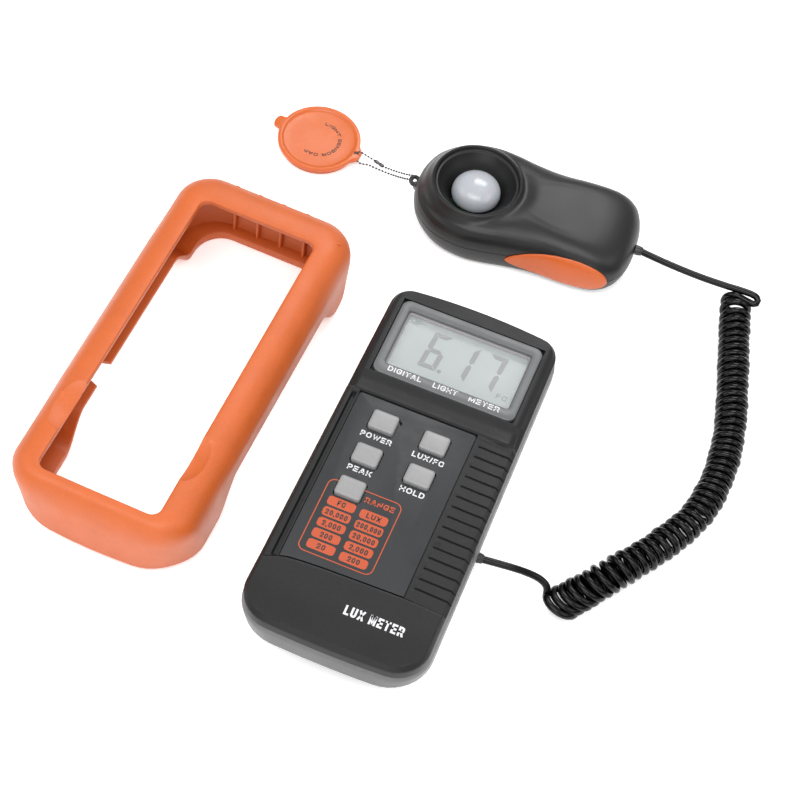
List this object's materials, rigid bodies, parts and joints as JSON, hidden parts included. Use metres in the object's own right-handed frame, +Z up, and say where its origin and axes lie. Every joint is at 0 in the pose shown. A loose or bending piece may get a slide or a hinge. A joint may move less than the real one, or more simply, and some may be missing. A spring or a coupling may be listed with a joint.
{
  "type": "handheld light meter",
  "caption": "Handheld light meter with a display and push buttons, a tethered domed light sensor on a curly cord, a sensor cap on a chain and a slip-on rubber holster.",
  "frame": {"origin": "centre of the meter's flat back, on the surface it lies on", "axes": "+X to the meter's right, +Y towards its display end, +Z up out of its face"},
  "size_m": [0.2228, 0.2252, 0.0315],
  "materials": {
    "case_grey": "fine grain",
    "panel_dark": "satin",
    "frame_grey": "satin",
    "key_grey": "satin",
    "window_clear": "clear",
    "lcd_glass": "satin",
    "white_plastic": "satin",
    "rubber_strip": "matt",
    "board_green": "solder mask",
    "chip_black": "matt",
    "battery_jacket": "printed metal jacket, plain",
    "wire_red": "satin",
    "wire_black": "satin",
    "screw_steel": "plated",
    "cord_black": "gloss",
    "gland_black": "satin",
    "sensor_black": "satin",
    "dome_white": "opal",
    "filter_green": "polished",
    "diode_grey": "clear potted",
    "grip_orange": "satin",
    "cap_orange": "soft, slightly translucent",
    "chain_steel": "bright",
    "holster_orange": "satin"
  },
  "bodies": {
    "meter": {"front_shell": "case_grey", "rear_shell": "case_grey", "display_frame": "frame_grey", "display_window": "window_clear", "lcd_panel": "lcd_glass", "lcd_holder": "white_plastic", "zebra_strip": "rubber_strip", "main_board": "board_green", "meter_ic": "chip_black", "key_panel": "panel_dark", "switch_power": "chip_black", "switch_peak": "chip_black", "switch_range": "chip_black", "switch_lux_fc": "chip_black", "switch_hold": "chip_black", "battery_9v": "battery_jacket", "battery_snap": "chip_black", "battery_lead_red": "wire_red", "battery_lead_black": "wire_black", "case_screw_1": "screw_steel", "case_screw_2": "screw_steel", "case_screw_3": "screw_steel", "case_screw_4": "screw_steel", "cord_gland_meter": "gland_black", "lead_meter": "cord_black", "coil": "cord_black"},
    "sensor": {"sensor_top_shell": "sensor_black", "sensor_bottom_shell": "sensor_black", "light_trap_ring": "sensor_black", "diffuser_dome": "dome_white", "photopic_filter": "filter_green", "photodiode": "diode_grey", "sensor_board": "board_green", "side_grip_near": "grip_orange", "side_grip_far": "grip_orange", "sensor_screw_1": "screw_steel", "sensor_screw_2": "screw_steel", "sensor_screw_3": "screw_steel", "cord_gland_sensor": "gland_black", "chain_eyelet": "gland_black", "lead_sensor": "cord_black"},
    "cap": {"cap": "cap_orange", "ball_chain": "chain_steel", "chain_connector": "chain_steel"},
    "button_power": {"button_power": "key_grey"},
    "button_peak": {"button_peak": "key_grey"},
    "button_range": {"button_range": "key_grey"},
    "button_lux_fc": {"button_lux_fc": "key_grey"},
    "button_hold": {"button_hold": "key_grey"},
    "battery_cover": {"battery_cover": "case_grey"},
    "holster": {"holster": "holster_orange"}
  },
  "joints": [
    {"name": "sensor_lift", "type": "slide", "parent": "meter", "child": "sensor", "axis": [0, 0, 1], "range_m": [0, 0.08]},
    {"name": "cap_swing", "type": "hinge", "parent": "sensor", "child": "cap", "pos_m": [-0.0478, 0.12928, 0.008], "axis": [0, 0, 1], "range_deg": [-60, 25]},
    {"name": "holster_lift", "type": "slide", "parent": "meter", "child": "holster", "axis": [0, 0, 1], "range_m": [0, 0.08]},
    {"name": "battery_cover_slide", "type": "slide", "parent": "meter", "child": "battery_cover", "axis": [0, -1, 0], "range_m": [0, 0.052]},
    {"name": "button_power_press", "type": "slide", "parent": "meter", "child": "button_power", "axis": [0, 0, -1], "range_m": [0, 0.001], "stiffness_N_per_m": 400},
    {"name": "button_peak_press", "type": "slide", "parent": "meter", "child": "button_peak", "axis": [0, 0, -1], "range_m": [0, 0.001], "stiffness_N_per_m": 400},
    {"name": "button_range_press", "type": "slide", "parent": "meter", "child": "button_range", "axis": [0, 0, -1], "range_m": [0, 0.001], "stiffness_N_per_m": 400},
    {"name": "button_lux_fc_press", "type": "slide", "parent": "meter", "child": "button_lux_fc", "axis": [0, 0, -1], "range_m": [0, 0.001], "stiffness_N_per_m": 400},
    {"name": "button_hold_press", "type": "slide", "parent": "meter", "child": "button_hold", "axis": [0, 0, -1], "range_m": [0, 0.001], "stiffness_N_per_m": 400}
  ]
}
